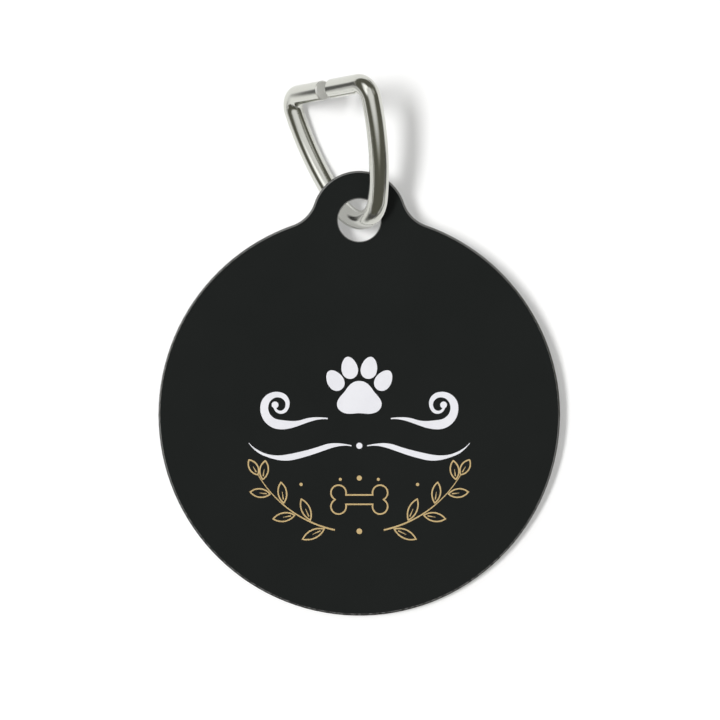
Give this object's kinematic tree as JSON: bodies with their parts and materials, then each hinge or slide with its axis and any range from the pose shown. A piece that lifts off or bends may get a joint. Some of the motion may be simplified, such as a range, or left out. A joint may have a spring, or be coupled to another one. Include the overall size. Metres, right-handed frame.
{
  "type": "pet id tag",
  "caption": "Round flat pet identity tag with a rounded tab, a coated and printed face, and a bent-wire bail that swings in the tab's hole.",
  "frame": {"origin": "on the surface that the part rests on, under the middle of its outline", "axes": "+Z out of the coated face of the flat-lying tag, +Y towards its tab and bail, +X to the right as the face is read"},
  "size_m": [0.0318, 0.0424, 0.0098],
  "materials": {
    "blank_metal": "polished rounded edge, satin brushed back",
    "black_coat": "smooth black coat with a soft gloss",
    "bail_wire": "mirror polished nickel plate",
    "white_ink": "opaque white print",
    "gold_ink": "fine gold print"
  },
  "bodies": {
    "tag": {"tag_plate": "blank_metal", "face_coat": "black_coat"},
    "bail": {"bail": "bail_wire"}
  },
  "joints": [
    {"name": "bail_swing", "type": "hinge", "parent": "tag", "child": "bail", "pos_m": [0, 0.01005, 0.00343], "axis": [0, 0, 1], "range_deg": [-115, 76]}
  ]
}
